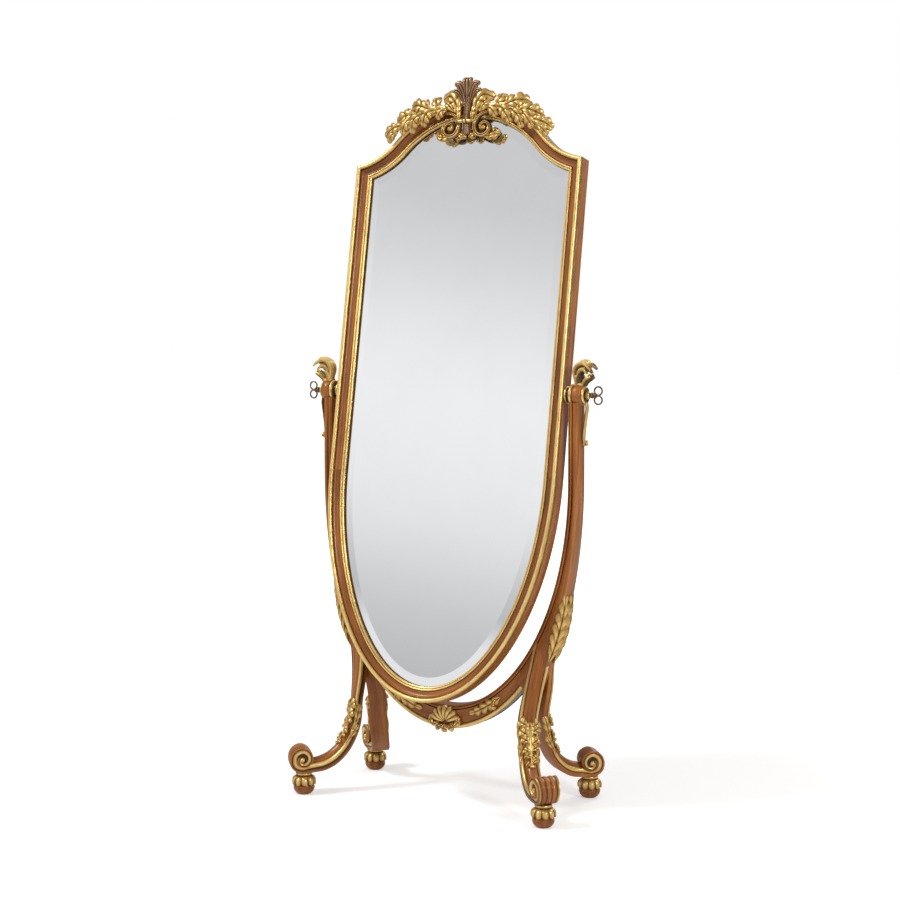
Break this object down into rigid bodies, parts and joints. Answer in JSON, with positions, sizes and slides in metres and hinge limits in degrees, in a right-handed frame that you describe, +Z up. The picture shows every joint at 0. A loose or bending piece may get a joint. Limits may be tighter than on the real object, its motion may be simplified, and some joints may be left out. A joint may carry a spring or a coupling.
{
  "type": "cheval floor mirror",
  "caption": "Full-length bevelled mirror in a carved walnut and gilt frame, tilting between lyre uprights on scroll legs and bun feet.",
  "frame": {"origin": "on the floor, midway between the two uprights and between the front and rear feet", "axes": "+X along the pivot axis to the right of a person who looks into the mirror, +Y to the back, +Z up; the glass faces -Y and leans back 10.2 degrees at rest"},
  "size_m": [0.8732, 0.4169, 1.9006],
  "materials": {
    "walnut": "waxed reddish-brown walnut, satin, with gilt beads along its edges",
    "gilt": "antique gold leaf on carved wood, rubbed on the high spots and dark in the hollows",
    "bronzed_wood": "carved wood with a dark bronze-brown finish",
    "mirror_silver": "silvered plate glass with a ground bevel",
    "plywood": "plain stained plywood",
    "beech": "plain beech",
    "steel_screw": "zinc-plated steel",
    "bearing_brass": "turned brass",
    "dark_bronze": "dark patinated bronze"
  },
  "bodies": {
    "stand": {"front_left_bun_foot": "walnut", "front_left_foot_collar": "gilt", "front_left_leg": "walnut", "front_left_leg_carving": "gilt", "front_right_bun_foot": "walnut", "front_right_foot_collar": "gilt", "front_right_leg": "walnut", "front_right_leg_carving": "gilt", "left_finial": "gilt", "left_hub": "walnut", "left_hub_bush": "bearing_brass", "left_tail_leaf": "gilt", "left_upright": "walnut", "left_upright_carving": "gilt", "leg_screws": "steel_screw", "rail_dowels": "beech", "rear_left_bun_foot": "walnut", "rear_left_foot_collar": "gilt", "rear_left_leg": "walnut", "rear_left_leg_carving": "gilt", "rear_right_bun_foot": "walnut", "rear_right_foot_collar": "gilt", "rear_right_leg": "walnut", "rear_right_leg_carving": "gilt", "right_finial": "gilt", "right_hub": "walnut", "right_hub_bush": "bearing_brass", "right_tail_leaf": "gilt", "right_upright": "walnut", "right_upright_carving": "gilt", "stretcher_rail": "walnut", "stretcher_shell": "gilt", "stretcher_sprays": "gilt"},
    "mirror": {"backing_board": "plywood", "backing_screws": "steel_screw", "bottom_bow": "walnut", "bottom_slip": "gilt", "bow_pegs": "beech", "crest_left_scroll": "gilt", "crest_left_spray": "gilt", "crest_plume": "bronzed_wood", "crest_right_scroll": "gilt", "crest_right_spray": "gilt", "crest_tie_bar": "gilt", "left_pivot_boss": "gilt", "left_stile": "walnut", "mirror_glass": "mirror_silver", "mitre_biscuits": "beech", "right_pivot_boss": "gilt", "right_stile": "walnut", "side_slips": "gilt", "thread_inserts": "bearing_brass", "top_rail": "walnut", "top_slip": "gilt"},
    "left_key": {"left_key_rings": "dark_bronze", "left_pivot_screw": "dark_bronze"},
    "right_key": {"right_key_rings": "dark_bronze", "right_pivot_screw": "dark_bronze"}
  },
  "joints": [
    {"name": "mirror_tilt", "type": "hinge", "parent": "stand", "child": "mirror", "pos_m": [0, 0, 1.0725], "axis": [1, 0, 0], "range_deg": [-79.8, 100.2]},
    {"name": "left_key_turn", "type": "hinge", "parent": "mirror", "child": "left_key", "pos_m": [-0.4, 0, 1.0725], "axis": [-1, 0, 0], "range_deg": [0, 180]},
    {"name": "right_key_turn", "type": "hinge", "parent": "mirror", "child": "right_key", "pos_m": [0.4, 0, 1.0725], "axis": [1, 0, 0], "range_deg": [0, 180]}
  ]
}
